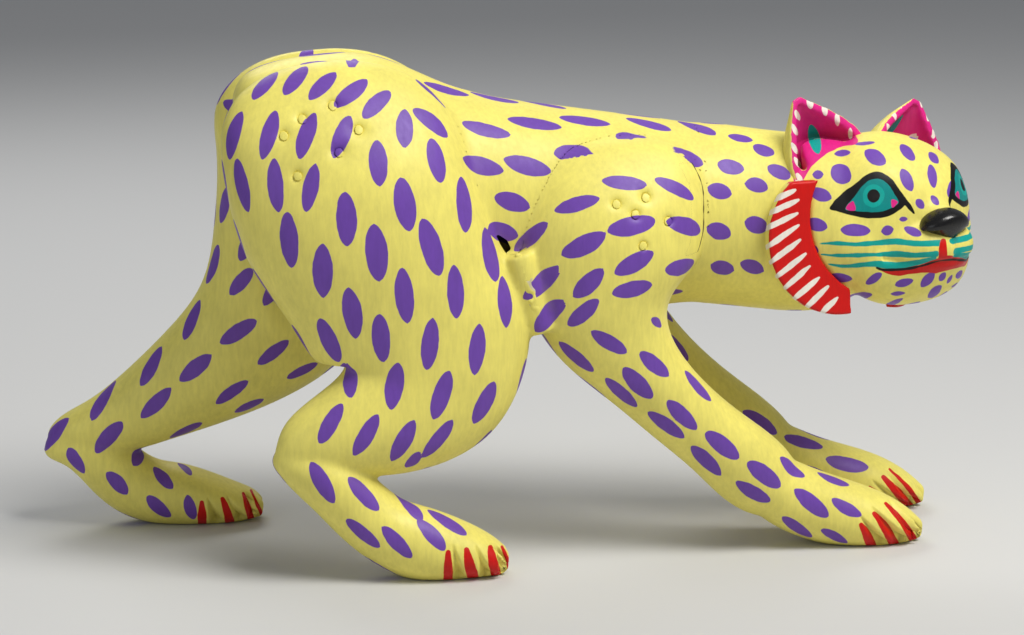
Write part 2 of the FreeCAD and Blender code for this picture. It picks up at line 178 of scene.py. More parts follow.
def relax(obj, rounds, weight):
    """Averages each point's place with its neighbours', by weight, some rounds."""
    values = points(obj)
    pairs = edges_of(obj)
    weight = np.broadcast_to(weight, len(values))
    a, b = pairs[:, 0], pairs[:, 1]
    count = np.bincount(a, minlength=len(values)) + np.bincount(b, minlength=len(values))
    count = np.maximum(count, 1)[:, None]
    for _ in range(rounds):
        total = np.stack([
            np.bincount(a, values[b, k], len(values)) + np.bincount(b, values[a, k], len(values))
            for k in range(3)], axis=1)
        values = values + weight[:, None] * (total / count - values)
    move_points(obj, values)


def smoothstep(low, high, value):
    t = np.clip((value - low) / (high - low), 0, 1)
    return t * t * (3 - 2 * t)


def in_head(co):
    """Millimetre places seen from the head's centre: forwards, left, up."""
    offset = co - HEAD_CENTRE
    return np.stack([offset @ FORWARD, offset @ LEFT, offset @ UP], axis=1)


# ---------------------------------------------------------------- the carved skin
BLOCKS = ["torso", "head_and_neck", "hind_leg_right", "hind_leg_left",
          "front_leg_right", "front_leg_left"]
VOXEL = 1.35

# Each paw: its tip along the body and its middle across.
PAWS = {
    "hind_leg_right": (-14 + MIDDLE, -72),
    "hind_leg_left": (-151 + MIDDLE, 71),
    "front_leg_right": (249 + MIDDLE, -34),
    "front_leg_left": (271 + MIDDLE, 46),
}
PAW_HALF = 31
TOE_REACH = 48
CLAW_REACH = 34
# Grooves between the toes, each from its top to the sole, and the claws that lie between
# them with their widths, marked on an upright board at the depth given.
TOES = {
    "hind_leg_right": (-85, [
        ((-44, 21), (-40, -3)), ((-30, 20), (-23, -3)), ((-18, 20), (-11, -1))], [
        ([(-47, 17), (-47, 8), (-47, -3)], (2.6, 5.4, 5.8)),
        ([(-36, 18), (-34, 8), (-31, -4)], (3.0, 6.6, 7.0)),
        ([(-22, 19), (-20, 9), (-17, -4)], (2.8, 6.0, 6.2)),
        ([(-15, 19), (-11, 9), (-9, -2)], (1.6, 2.8, 3.0))]),
    "front_leg_right": (-50, [
        ((211, 20), (227, -2)), ((219, 25), (239, 1)), ((229, 29), (249, 4))], [
        ([(212, 14), (216, 7), (220, -3)], (3.0, 6.0, 6.6)),
        ([(220, 21), (227, 12), (234, -1)], (2.6, 5.6, 6.2)),
        ([(227, 27), (237, 16), (246, 2)], (1.8, 4.0, 5.2))]),
    "front_leg_left": (35, [
        ((241, 19), (263, -2)), ((250, 26), (271, 0))], [
        ([(239, 15), (248, 9)], (1.2, 2.2)),
        ([(248, 21), (258, 10), (268, -2)], (2.6, 5.8, 6.0)),
        ([(252, 26), (264, 14), (274, 0)], (1.4, 3.0, 3.2))]),
    "hind_leg_left": (55, [
        ((-182, 18), (-176, -2)), ((-170, 19), (-160, -2)), ((-158, 21), (-151, 0))], [
        ([(-186, 15), (-186, 7), (-186, -3)], (3.0, 5.6, 5.8)),
        ([(-173, 17), (-170, 8), (-168, -3)], (2.6, 5.2, 6.6)),
        ([(-160, 20), (-157, 10), (-154, -2)], (1.8, 4.0, 4.8)),
        ([(-155, 22), (-151, 12), (-147, 2)], (1.2, 2.2, 2.4))]),
}
PEG_PLACES = {
    "hip_pegs": [(-114, 280), (-100, 267), (-112, 255), (-136, 242), (-132, 273), (-143, 264)],
    "shoulder_pegs": [(69, 223), (51, 220), (62, 214), (82, 209), (66, 196)],
}


def on_board(co, out, depth, mirror=None):
    """Each point's place on a board as the painter sees it, and whether it faces them."""
    if mirror is not None:
        middle, across = mirror
        co = co - 2 * ((co - middle) @ across)[:, None] * across
        out = out - 2 * (out @ across)[:, None] * across
    eye = np.array(PAINTER)
    ray = co - eye
    t = (depth - eye[1]) / ray[:, 1]
    place = (eye + ray * t[:, None])[:, [0, 2]] - [EDGE, 0]
    return place, np.sum(out * ray, axis=1) < 0.05 * np.linalg.norm(ray, axis=1)


def near_paw(mm, tip, middle):
    return ((mm[:, 0] > tip - TOE_REACH) & (mm[:, 0] < tip + 6) & (mm[:, 2] < 36)
            & (np.abs(mm[:, 1] - middle) < PAW_HALF))


def both_sides(middle):
    """The near side of a paw as it is, then the far side in an upright mirror."""
    return None, (np.array([0, middle, 0]), np.array([0, 1, 0]))


def carve_skin():
    """All the blocks and the filler as one carved surface, with its seams worked smooth."""
    copies = [copy_of(node, f"blank_{node}") for node in BLOCKS + ["seam_filler_right"]]
    deselect()
    for piece in copies:
        piece.select_set(True)
    bpy.context.view_layer.objects.active = copies[0]
    bpy.ops.object.join()
    skin = bpy.context.object
    skin.name = "skin"
    apply(skin, "REMESH", mode="VOXEL", voxel_size=VOXEL * MM, adaptivity=0)
    mm = points(skin) / MM
    low = smoothstep(14, 60, mm[:, 2])
    blend = smoothstep(200, 250, mm[:, 2]) * smoothstep(150, 110, mm[:, 0])
    relax(skin, 14, 0.12 + 0.4 * low)
    relax(skin, 40, 0.55 * blend)
    return skin


def refine(skin):
    """A finer surface where the face and the toes are cut."""
    mm = points(skin) / MM
    local = in_head(mm)
    fine = (local[:, 0] > 2) & (np.linalg.norm(local, axis=1) < 75)
    for tip, middle in PAWS.values():
        fine |= near_paw(mm, tip, middle)
    corner = np.array([fine[list(p.vertices)].all() for p in skin.data.polygons])
    skin.data.vertices.foreach_set("select", np.zeros(len(mm), bool))
    skin.data.edges.foreach_set("select", np.zeros(len(skin.data.edges), bool))
    skin.data.polygons.foreach_set("select", corner)
    pick(skin)
    bpy.ops.object.mode_set(mode="EDIT")
    bpy.ops.mesh.select_mode(type="FACE")
    bpy.ops.mesh.subdivide(number_cuts=1)
    bpy.ops.object.mode_set(mode="OBJECT")
    mm = points(skin) / MM
    fine = (in_head(mm)[:, 0] > 0).astype(float) * (mm[:, 0] > 150)
    for tip, middle in PAWS.values():
        fine = np.maximum(fine, near_paw(mm, tip, middle) * smoothstep(0.2, 2, mm[:, 2]))
    relax(skin, 3, 0.5 * fine)


def cut_toes(skin):
    """Tapering grooves between the toes on both sides of each paw's point."""
    for node, (tip, middle) in PAWS.items():
        depth, grooves, _ = TOES[node]
        for mirror in both_sides(middle):
            mm = points(skin) / MM
            out = normals_of(skin)
            near = near_paw(mm, tip, middle)
            place, seen = on_board(mm, out, depth, mirror)
            own = near & seen
            inner = (mm[:, 1] - middle) * (1 if mirror is None else -1) < 5
            push = np.zeros(len(mm))
            for top, foot in grooves:
                top, foot = np.array(top), np.array(foot)
                span = foot - top
                t = np.clip((place - top) @ span / (span @ span), 0, 1)
                gap = np.linalg.norm(place - (top + t[:, None] * span), axis=1)
                half = 0.7 + 4.6 * t
                profile = np.clip(1 - gap / half, 0, 1) ** 0.85
                push = np.maximum(push, (0.4 + 5.6 * t ** 0.8) * profile)
            shift = -out * (push * own * inner)[:, None]
            shift[:, 2] = np.where(mm[:, 2] < 2, 0, shift[:, 2])
            mm += shift
            mm[:, 2] = np.maximum(mm[:, 2], 0.05)
            move_points(skin, mm * MM)


def cut_face(skin):
    """Sockets, eyes, muzzle and mouth, worked by short pushes along the surface."""
    mm = points(skin) / MM
    out = normals_of(skin)
    local = in_head(mm)
    push = np.zeros(len(mm))

    def dab(centre, radius, depth):
        reach = np.linalg.norm(local - np.array(centre), axis=1)
        return depth * np.exp(-(reach / radius) ** 2 * 1.6)

    for side in (-1, 1):
        push += dab((34, side * 37, 12), 19, -2.2)
        push += dab((36, side * 37, 12), 10, 2.6)
        push += dab((36, side * 24, 30), 15, 1.4)
        push += dab((30, side * 50, -4), 16, 1.5)
        push += dab((50, side * 12, -13), 11, 1.6)
        push += dab((40, side * 24, -34), 12, -1.0)
    push += dab((50, 0, 10), 9, 1.5)
    ahead = smoothstep(20, 40, local[:, 0])
    groove = np.exp(-((local[:, 2] + 25 - 0.004 * local[:, 1] ** 2) / 2.2) ** 2)
    push -= 1.5 * groove * ahead * (np.abs(local[:, 1]) < 30)
    crease = np.exp(-(local[:, 1] / 1.8) ** 2) * smoothstep(-26, -22, local[:, 2])
    push -= 1.1 * crease * smoothstep(-6, -12, local[:, 2]) * ahead
    near = (np.linalg.norm(local, axis=1) < 80) * (mm[:, 0] > 170)
    mm = mm + out * (push * near)[:, None]
    # The far cheek and the muzzle stand out a little more than the block does.
    reach = (mm - HEAD_CENTRE) @ CHEEK_WAY
    fuller = CHEEK_FILL * smoothstep(2, 46, reach) * (mm[:, 0] > 190) * (mm[:, 2] > 120)
    move_points(skin, (mm + fuller[:, None] * CHEEK_WAY) * MM)


def nearest_block(skin):
    """For each face of the skin, the block that it was carved from."""
    verts, faces, owner = [], [], []
    for i, node in enumerate(BLOCKS):
        mesh = NODES[node].data
        base = len(verts)
        verts += [v.co.copy() for v in mesh.vertices]
        faces += [[base + k for k in p.vertices] for p in mesh.polygons]
        owner += [i] * len(mesh.polygons)
    tree = BVHTree.FromPolygons(verts, faces)
    owner = np.array(owner)
    found = [tree.find_nearest(p.center)[2] for p in skin.data.polygons]
    return owner[np.array(found)]


def hollows(co, out, pairs):
    """How hollow the surface is at each point, from 0 to 1."""
    a, b = pairs[:, 0], pairs[:, 1]
    n = len(co)
    count = np.maximum(np.bincount(a, minlength=n) + np.bincount(b, minlength=n), 1)
    gap = np.stack([np.bincount(a, co[b, k], n) + np.bincount(b, co[a, k], n)
                    for k in range(3)], axis=1) / count[:, None] - co
    hollow = np.sum(gap * out, axis=1)
    for _ in range(8):
        hollow = 0.5 * hollow + 0.5 * (np.bincount(a, hollow[b], n)
                                       + np.bincount(b, hollow[a], n)) / count
    return np.clip(hollow * 16 - 0.05, 0, 1)


def remember(skin):
    """Keeps the whole skin's normals and hollows, which the split pieces take on."""
    mesh = skin.data
    out = normals_of(skin)
    held = mesh.attributes.new("skin_normal", "FLOAT_VECTOR", "POINT")
    held.data.foreach_set("vector", out.astype(np.float32).ravel())
    held = mesh.attributes.new("hollow", "FLOAT", "POINT")
    hollow = hollows(points(skin) / MM, out, edges_of(skin))
    held.data.foreach_set("value", hollow.astype(np.float32))


def split(skin, owner):
    """One closed piece for each block, shaded as the one surface it was cut from."""
    pieces = {}
    for i, node in enumerate(BLOCKS):
        piece = bpy.data.objects.new(f"carved_{node}", skin.data.copy())
        bpy.context.scene.collection.objects.link(piece)
        work = bmesh.new()
        work.from_mesh(piece.data)
        work.faces.ensure_lookup_table()
        drop = [work.faces[k] for k in np.nonzero(owner != i)[0]]
        bmesh.ops.delete(work, geom=drop, context="FACES")
        rim = [e for e in work.edges if e.is_boundary]
        caps = bmesh.ops.holes_fill(work, edges=rim, sides=0)["faces"]
        for face in work.faces:
            face.smooth = True
            face.material_index = 0
        # The cut faces are told apart by this number until their normals are set.
        for face in caps:
            face.material_index = 1
        work.to_mesh(piece.data)
        work.free()
        mesh = piece.data
        kept = np.empty(len(mesh.vertices) * 3, np.float32)
        mesh.attributes["skin_normal"].data.foreach_get("vector", kept)
        kept = kept.reshape(-1, 3)
        corner = np.empty(len(mesh.loops), np.int32)
        mesh.loops.foreach_get("vertex_index", corner)
        shown = kept[corner]
        for face in mesh.polygons:
            if face.material_index == 1:
                shown[face.loop_start:face.loop_start + face.loop_total] = face.normal
                face.material_index = 0
        mesh.normals_split_custom_set(shown.tolist())
        pieces[node] = piece
    return pieces


# ---------------------------------------------------------------- laying out the paint
# No colour's distance is kept beyond this many millimetres.
FAR = 9.0


def sight(depth, along, up):
    """The way from the painter's eye to a mark on the board at this depth."""
    return Vector((along + EDGE, depth, up)) - PAINTER


class Canvas:
    """One carved piece, its surface points in millimetres, and a distance for each colour."""

    def __init__(self, piece):
        self.piece = piece
        self.co = points(piece) / MM
        self.out = normals_of(piece)
        kept = piece.data.attributes.get("skin_normal")
        if kept is not None:
            flat = np.empty(len(self.co) * 3, np.float32)
            kept.data.foreach_get("vector", flat)
            self.out = flat.reshape(-1, 3).astype(float)
            piece.data.attributes.remove(kept)
        self.companions = []
        self.tree = BVHTree.FromPolygons(
            [Vector(p) for p in self.co], [tuple(f.vertices) for f in piece.data.polygons])
        self.layers = {}
        self.marks = []

    def touch(self, depth, along, up):
        """The surface point and its outward direction under a mark on a board."""
        way = sight(depth, along, up)
        place, normal, _, _ = self.tree.ray_cast(PAINTER, way.normalized())
        if place is None:
            return None
        if normal.dot(way) > 0:
            normal = -normal
        return place, normal

    def direction(self, depth, along, up, degrees):
        """A direction drawn on the board, carried on to the surface."""
        step = math.radians(degrees)
        _, normal = self.touch(depth, along, up)
        here = sight(depth, along, up)
        there = sight(depth, along + math.cos(step), up + math.sin(step))
        shift = (PAINTER + there) - (PAINTER + here)
        # Seen from the eye, the direction on the wood stays as it was drawn.
        ray = here.normalized()
        seen = shift - ray * shift.dot(ray)
        lift = seen - ray * (seen.dot(normal) / min(-0.35, ray.dot(normal)))
        return lift.normalized()

    def layer(self, colour):
        return self.layers.setdefault(colour, np.full(len(self.co), FAR))

    def press(self, colour, distance, near=None):
        held = self.layer(colour)
        if near is None:
            np.minimum(held, distance, out=held)
        else:
            held[near] = np.minimum(held[near], distance)

    def leaf(self, colour, place, normal, along, length, width, blunt=0.6, bow=0.0, own=True):
        """A leaf-shaped dab, wrapped on to the surface round its middle."""
        place, normal, along = (np.array(v, float) for v in (place, normal, along))
        across = np.cross(normal, along)
        offset = self.co - place
        reach = np.linalg.norm(offset, axis=1)
        near = np.nonzero((reach < length / 2 + FAR) & (np.abs(offset @ normal) < 7)
                          & (self.out @ normal > -0.2))[0]
        u = offset[near] @ along
        v = offset[near] @ across
        drawn = np.maximum(np.hypot(u, v), 1e-6)
        stretch = np.minimum(reach[near] / drawn, 3.0)
        u, v = u * stretch, v * stretch
        v = v - bow * (1 - (2 * u / length) ** 2)
        t = np.clip(1 - (2 * u / length) ** 2, 0, 1)
        edge = width / 2 * t ** blunt
        distance = np.where(np.abs(u) < length / 2, np.abs(v) - edge,
                            np.hypot(np.abs(u) - length / 2, v))
        self.press(colour, distance, near)
        self.marks.append(place)
        for other in self.companions if own else ():
            other.leaf(colour, place, normal, along, length, width, blunt, bow, False)

    def finish(self, colours):
        """Keeps each colour's distance with the mesh, for its material to read."""
        for colour in colours:
            held = self.piece.data.attributes.new(colour, "FLOAT", "POINT")
            held.data.foreach_set("value", self.layer(colour).astype(np.float32))
        if self.piece.data.attributes.get("hollow") is None:
            hollow = hollows(self.co, self.out, edges_of(self.piece))
            held = self.piece.data.attributes.new("hollow", "FLOAT", "POINT")
            held.data.foreach_set("value", hollow.astype(np.float32))


def smooth_line(guide, closed=False, steps=6):
    """A smooth curve through given points."""
    guide = np.array(guide, float)
    n = len(guide)
    line = [guide[0]]
    for i in range(n if closed else n - 1):
        a, b = guide[i], guide[(i + 1) % n]
        before = guide[i - 1] if closed or i else guide[0]
        after = guide[(i + 2) % n] if closed else guide[min(i + 2, n - 1)]
        for t in np.linspace(0, 1, steps + 1)[1:]:
            line.append(0.5 * (2 * a + (b - before) * t
                               + (2 * before - 5 * a + 4 * b - after) * t ** 2
                               + (3 * a - before - 3 * b + after) * t ** 3))
    return np.array(line)


def even_along(guide, count):
    """Evenly spaced places along a guide line through given points."""
    if count == 1:
        return np.array(guide, float)[:1]
    smooth = smooth_line(guide, steps=12)
    run = np.concatenate([[0], np.cumsum(np.linalg.norm(np.diff(smooth, axis=0), axis=1))])
    wanted = np.linspace(0, run[-1], count)
    return np.stack([np.interp(wanted, run, smooth[:, k]) for k in range(2)], axis=1)


def row_of_spots(canvas, depth, guide, count, turns, length, width):
    """A row of leaf-shaped spots; each leans as the row's own turns say."""
    places = even_along(guide, count)
    leans = np.interp(np.linspace(0, 1, count), np.linspace(0, 1, len(turns)), turns)
    for (along, up), lean in zip(places, leans):
        along += rng.normal(0, 0.8)
        up += rng.normal(0, 0.8)
        lean += rng.normal(0, 4)
        hit = canvas.touch(depth, along, up)
        if hit is None:
            continue
        way = canvas.direction(depth, along, up, lean)
        canvas.leaf("purple", hit[0], hit[1], way,
                    1.04 * length * rng.uniform(0.94, 1.06), 1.1 * width * rng.uniform(0.92, 1.08),
                    rng.uniform(0.52, 0.64), rng.normal(0, 0.3))


def all_surfaces(canvases):
    """One surface of every canvas, to tell what hides what."""
    verts, faces = [], []
    for canvas in canvases.values():
        base = len(verts)
        verts += [Vector(c) for c in canvas.co]
        faces += [[base + k for k in f.vertices] for f in canvas.piece.data.polygons]
    return BVHTree.FromPolygons(verts, faces)


def on_toes(place):
    """Whether a place is among the claws, where no spot is laid."""
    return any(tip - CLAW_REACH < place[0] < tip + 8 and abs(place[1] - middle) < PAW_HALF
               and place[2] < 34 for tip, middle in PAWS.values())


def wander(canvas, way_at, spacing, stretch, length, width, everything):
    """Spots over what the painter's marks have not reached, along the grain."""
    order = rng.permutation(len(canvas.co))[:7000]
    kept = np.array(canvas.marks).reshape(-1, 3)
    eye = np.array(PAINTER)
    for k in order:
        place, normal = canvas.co[k], canvas.out[k]
        way = np.array(way_at(place), float)
        way -= normal * (way @ normal)
        if np.linalg.norm(way) < 0.2 or place[2] < 3 or on_toes(place):
            continue
        way /= np.linalg.norm(way)
        gap = kept - place
        along = gap @ way
        cross = np.sqrt(np.maximum(np.sum(gap ** 2, axis=1) - along ** 2, 0))
        if len(kept) and np.any(np.hypot(along / stretch, cross) < spacing):
            continue
        gaze = place - eye
        reach = np.linalg.norm(gaze)
        if -(normal @ gaze) > 0.12 * reach:
            hit = everything.ray_cast(Vector(eye), Vector(gaze / reach))
            if hit[0] is None or hit[3] > reach - 4:
                continue
        kept = np.vstack([kept, place])
        canvas.leaf("purple", place, normal, way, length * rng.uniform(0.88, 1.08),
                    width * rng.uniform(0.88, 1.1), rng.uniform(0.52, 0.64))


# ---------------------------------------------------------------- drawing
class Drawing:
    """A canvas as the painter sees it: every point's place on an upright board."""

    def __init__(self, canvas, depth, mirror=None):
        self.place, self.seen = on_board(canvas.co, canvas.out, depth, mirror)
        self.side = (canvas.co - HEAD_CENTRE) @ FACE_ACROSS * (1 if mirror is None else -1)
        self.canvas = canvas

    def press(self, colour, distance, limit=None):
        near = self.seen & (distance < FAR)
        if limit is not None:
            near &= self.side < limit
        where = np.nonzero(near)[0]
        self.canvas.press(colour, distance[where], where)

    def leaf(self, colour, centre, angle, length, width, limit=None, blunt=0.6):
        step = math.radians(angle)
        way = np.array([math.cos(step), math.sin(step)])
        gap = self.place - np.array(centre)
        u = gap @ way
        v = gap @ np.array([-way[1], way[0]])
        edge = width / 2 * np.clip(1 - (2 * u / length) ** 2, 0, 1) ** blunt
        self.press(colour, np.where(np.abs(u) < length / 2, np.abs(v) - edge,
                                    np.hypot(np.abs(u) - length / 2, v)), limit)
        self.keep_clear([centre])

    def keep_clear(self, places):
        """No wandering spot is laid over these."""
        for place in places:
            gap = np.linalg.norm(self.place - np.array(place), axis=1) + 1000 * ~self.seen
            self.canvas.marks.append(self.canvas.co[np.argmin(gap)])

    def stroke(self, colour, guide, widths, limit=None):
        line = smooth_line(guide)
        widths = np.interp(np.linspace(0, 1, len(line)), np.linspace(0, 1, len(widths)), widths)
        best = np.full(len(self.place), 50.0)
        for p, q, wp, wq in zip(line[:-1], line[1:], widths[:-1], widths[1:]):
            span = q - p
            t = np.clip((self.place - p) @ span / max(span @ span, 1e-9), 0, 1)
            gap = np.linalg.norm(self.place - (p + t[:, None] * span), axis=1)
            best = np.minimum(best, gap - (wp + (wq - wp) * t) / 2)
        self.press(colour, best, limit)

    def patch(self, colour, outline, limit=None):
        """A filled shape with a closed, smooth outline."""
        line = smooth_line(outline, closed=True)
        best = np.full(len(self.place), 50.0)
        inside = np.zeros(len(self.place), bool)
        x, y = self.place.T
        for p, q in zip(line[:-1], line[1:]):
            span = q - p
            t = np.clip((self.place - p) @ span / max(span @ span, 1e-9), 0, 1)
            best = np.minimum(best, np.linalg.norm(self.place - (p + t[:, None] * span), axis=1))
            cross = (p[1] > y) != (q[1] > y)
            at = p[0] + (y - p[1]) * (q[0] - p[0]) / (q[1] - p[1] if q[1] != p[1] else 1e-9)
            inside ^= cross & (x < at)
        self.press(colour, np.where(inside, -best, best), limit)


# ---------------------------------------------------------------- the face
EYE_LINE = [(183, 215), (190, 223), (198, 229), (204, 233.5), (210, 236), (216, 234.5),
            (221.5, 230), (225.5, 224.5), (229.5, 218), (227, 213.5), (219, 209),
            (211, 208), (202.5, 208.5), (194.5, 210.5), (188.5, 212.5)]
EYE_TAIL = [(227.5, 219), (231.5, 214.5), (234.5, 210.5)]
EYE_OPENING = [(192.5, 214.2), (198.5, 222), (203, 228), (208, 231.2), (214, 231.2),
               (219, 227.5), (222, 222.5), (225, 217), (219, 213.2), (212.5, 211.7),
               (203.5, 212), (197, 213)]
EYE_OUTER_CORNER = [(192.8, 214.2), (197, 218.6), (198.6, 213)]
EYE_INNER_CORNER = [(220.6, 219), (224.6, 217.4), (221.2, 214)]
PUPIL = (209.5, 221.5)
WHISKERS = [
    ([(177.5, 193.5), (187, 193.5), (199, 192.5), (212, 193), (224.5, 193.5), (236, 192), (250.5, 192)],
     [0.6, 2.4, 2.6, 3.2, 3.8, 3.6, 3.6]),
    ([(178.5, 187), (189, 186), (201, 186), (211.5, 186), (224.5, 186), (236, 185), (249, 185.5)],
     [0.6, 2.2, 2.8, 2.2, 4.0, 3.2, 3.6]),
    ([(183, 181), (192, 179.5), (203.5, 180), (211.5, 180.5), (219.5, 179.3), (230, 179.3),
      (240, 181), (248, 182.8)],
     [0.6, 2.4, 2.8, 3.6, 4.4, 4.2, 3.4, 2.2]),
]
PHILTRUM = [(253, 193), (252.8, 188), (253, 182)]
UPPER_LIP = [(212.5, 178), (217.5, 176.6), (230, 176.8), (240, 178.4), (248, 180.6), (254, 181.6)]
MOUTH = [(212.5, 178), (217.5, 177), (230, 177.5), (240, 179.5), (248, 182), (253.5, 184),
         (262, 184), (262, 172), (253.5, 172.6), (245.5, 174), (235, 173.8), (225, 172.8), (218.5, 174.5)]
# Spots: along, up, lean, length, width, and whether the other cheek has its own.
HEAD_SPOTS = [
    (189.5, 235, -40, 14, 11.5, 1), (175.5, 235, 0, 6.5, 5.5, 1), (177.5, 223, -22, 14, 8, 1),
    (175.5, 205, -18, 13.5, 8, 1), (199, 201, -4, 18.5, 7.5, 1), (218.5, 200.5, 10, 7.5, 6, 1),
    (234, 199.5, -24, 12, 5, 0), (228, 207, 0, 5, 3, 0), (210, 244.5, -32, 15, 8.5, 0),
    (190, 247.5, 4, 10, 4, 1), (203.5, 253, 4, 12, 2.4, 1), (229.5, 230.5, -64, 15, 7, 0),
    (229.5, 247, -48, 13, 6, 0), (245, 232.5, -78, 14.5, 5.5, 0), (245.5, 243.5, -48, 9, 4.5, 0),
    (256.5, 224.5, 84, 11, 4, 0), (247, 218, -50, 7.5, 4, 0), (238, 216, -50, 7, 5, 0),
    (260, 234, -48, 9, 4, 0), (190, 172.5, -7, 15.5, 5.5, 1), (211, 171.5, 32, 11.5, 5, 1),
    (229.5, 168.5, 14, 11.5, 5, 1), (244, 170, 48, 12, 6, 0), (253, 171.5, 55, 6, 4, 0),
    (248.5, 162.5, 40, 11, 5, 0), (202.5, 161, 6, 15.5, 4.6, 1), (226, 162, 2, 9, 2.6, 1),
    (222.5, 156, 24, 15, 3, 1), (199, 154, 0, 11, 2.4, 1), (173.5, 190.5, -36, 8, 4.6, 1),
    (257.5, 169.8, 60, 6, 2, 0),
]


def paint_face(head):
    near = Drawing(head, -70)
    far = Drawing(head, -70, FACE_MIRROR)
    for look in (near, far):
        look.keep_clear(EAR_HOLLOW)
        look.patch("ear_hollow", EAR_HOLLOW)
        look.leaf("ear_leaf", (173, 256), -74, 18.5, 7)
        for along, up, lean, length, width in EAR_DASHES + LOW_EAR_DASHES:
            look.leaf("dash", (along, up), lean, length, width)
    for along, up, lean, length, width, both in HEAD_SPOTS:
        near.leaf("purple", (along, up), lean, length, width)
        if both:
            far.leaf("purple", (along, up), lean, length, width)
    for look in (near, far):
        edge = 0.5
        look.keep_clear(EYE_LINE[::2] + [PUPIL] + MOUTH[::2])
        for guide, widths in WHISKERS:
            look.keep_clear(guide)
        look.patch("eye_line", EYE_LINE, edge)
        look.stroke("eye_line", EYE_TAIL, [3.6, 2.6, 1.2], edge)
        look.patch("eye_opening", EYE_OPENING, edge)
        look.patch("eye_corner", EYE_OUTER_CORNER, edge)
        look.patch("eye_corner", EYE_INNER_CORNER, edge)
        round_ = np.linalg.norm((look.place - np.array(PUPIL)) * [1.0, 0.96], axis=1)
        look.press("pupil", round_ - 3.9, edge)
        look.press("eye_ring", round_ - 6.6, edge)
        for guide, widths in WHISKERS:
            look.stroke("whisker", guide, widths, edge)
        look.patch("mouth", MOUTH, edge)
        if look is near:
            look.stroke("mouth", PHILTRUM, [3.4, 5.0, 5.6])
        look.stroke("lip_shadow", UPPER_LIP, [0.8, 1.6, 1.7, 1.4, 1.1, 0.8], edge)


# ---------------------------------------------------------------- body spots
# Rows: board guide points, how many, lean along the row, length, width.
HAUNCH = [
    ([(-166, 293), (-126, 298), (-86, 284)], 6, (55, 48), 26, 9),
    ([(-168, 267), (-106, 265)], 4, (75, 70), 28, 9),
    ([(-71, 268), (-55, 271)], 2, (-86, -42), 24, 10),
    ([(-164, 238), (-125, 235)], 3, (100, 83), 29, 9),
    ([(-85, 249), (-52, 250)], 2, (84, 99), 27, 10),
    ([(-137, 205), (-86, 224), (-36, 224)], 4, (97, 95), 31, 11),
    ([(-118, 187), (-70, 200), (-22, 195)], 4, (95, 102), 32, 11),
    ([(-102, 162), (-56, 174), (-11, 165)], 4, (96, 91), 31, 10),
    ([(-116, 146), (-58, 143), (1, 134)], 5, (106, 78), 29, 10),
    ([(-102, 125), (-62, 113), (-23, 108)], 4, (89, 66), 28, 10),
    ([(-116, 96), (-83, 86), (-50, 84)], 4, (60, 52), 27, 9),
    ([(-68, 72)], 1, (49,), 14, 7),
]
HIND_FOOT = [
    ([(-122, 61), (-85, 51), (-47, 36)], 4, (-66, -35), 26, 9),
    ([(-98, 31), (-77, 24), (-56, 28)], 3, (-45, -45), 24, 8),
]
FLANK = [
    ([(-21, 263), (39, 267)], 3, (-17, -10), 30, 9),
    ([(69, 253), (98, 244)], 2, (-18, -22), 27, 9),
    ([(-23, 240), (5, 241), (34, 247)], 3, (-17, -7), 27, 10),
    ([(-11, 202), (-4, 219)], 2, (-20, -20), 20, 10),
]
BACK = [
    ([(-72, 289), (17, 275)], 4, (-28, -11), 29, 10),
    ([(-113, 301)], 1, (-3,), 28, 10),
    ([(80, 262), (110, 259)], 2, (-17, -17), 27, 10),
]
SHOULDER = [
    ([(4, 204), (48, 232), (91, 228)], 4, (41, -26), 26, 8),
    ([(9, 177), (52, 207), (95, 206)], 4, (51, -15), 28, 10),
    ([(15, 156), (54, 184), (94, 182)], 4, (60, 10), 25, 10),
    ([(35, 158), (65, 170)], 2, (40, 13), 25, 9),
]
FORELEG = [
    ([(33, 127), (169, 16)], 6, (-44, -38), 26, 9),
    ([(70, 109), (178, 31)], 5, (-49, -38), 27, 9),
    ([(53, 135), (108, 106)], 3, (-38, -51), 25, 8),
    ([(164, 55), (192, 46)], 2, (-42, -21), 22, 8),
    ([(193, 9), (200, 29)], 2, (-39, -31), 20, 7),
    ([(81, 147)], 1, (-40,), 12, 5),
]
FAR_FORELEG = [([(140, 72), (225, 30)], 4, (-32, -20), 27, 9)]
NECK = [
    ([(119, 224), (121, 176)], 3, (-18, -18), 15, 9),
    ([(126, 240)], 1, (-15,), 16, 9),
    ([(142, 227), (140, 178)], 3, (-12, -23), 14, 9),
    ([(132, 255), (150, 244), (156, 235)], 3, (-15, -30), 14, 8),
]
FAR_HIND = [
    ([(-277, 62), (-211, 107), (-183, 145), (-167, 202)], 6, (50, 76), 27, 9),
    ([(-242, 58), (-161, 123)], 4, (50, 39), 26, 9),
    ([(-194, 60), (-139, 109)], 3, (27, 36), 24, 8),
    ([(-155, 75), (-123, 96)], 2, (18, 24), 20, 7),
    ([(-159, 154), (-154, 178)], 2, (50, 62), 22, 8),
]
FAR_FOOT = [
    ([(-264, 44), (-213, 12)], 3, (-65, -47), 19, 8),
    ([(-223, 46)], 1, (69,), 20, 8),
    ([(-209, 31), (-194, 10)], 2, (-56, -72), 18, 7),
    ([(-196, 36)], 1, (-47,), 17, 6),
]
ROWS = [
    ("hind_leg_right", -80, HAUNCH), ("hind_leg_right", -85, HIND_FOOT),
    ("torso", -52, FLANK), ("torso", -30, BACK), ("front_leg_right", -74, SHOULDER),
    ("front_leg_right", -60, FORELEG), ("front_leg_left", 40, FAR_FORELEG),
    ("head_and_neck", -55, NECK), ("hind_leg_left", 60, FAR_HIND), ("hind_leg_left", 60, FAR_FOOT),
]

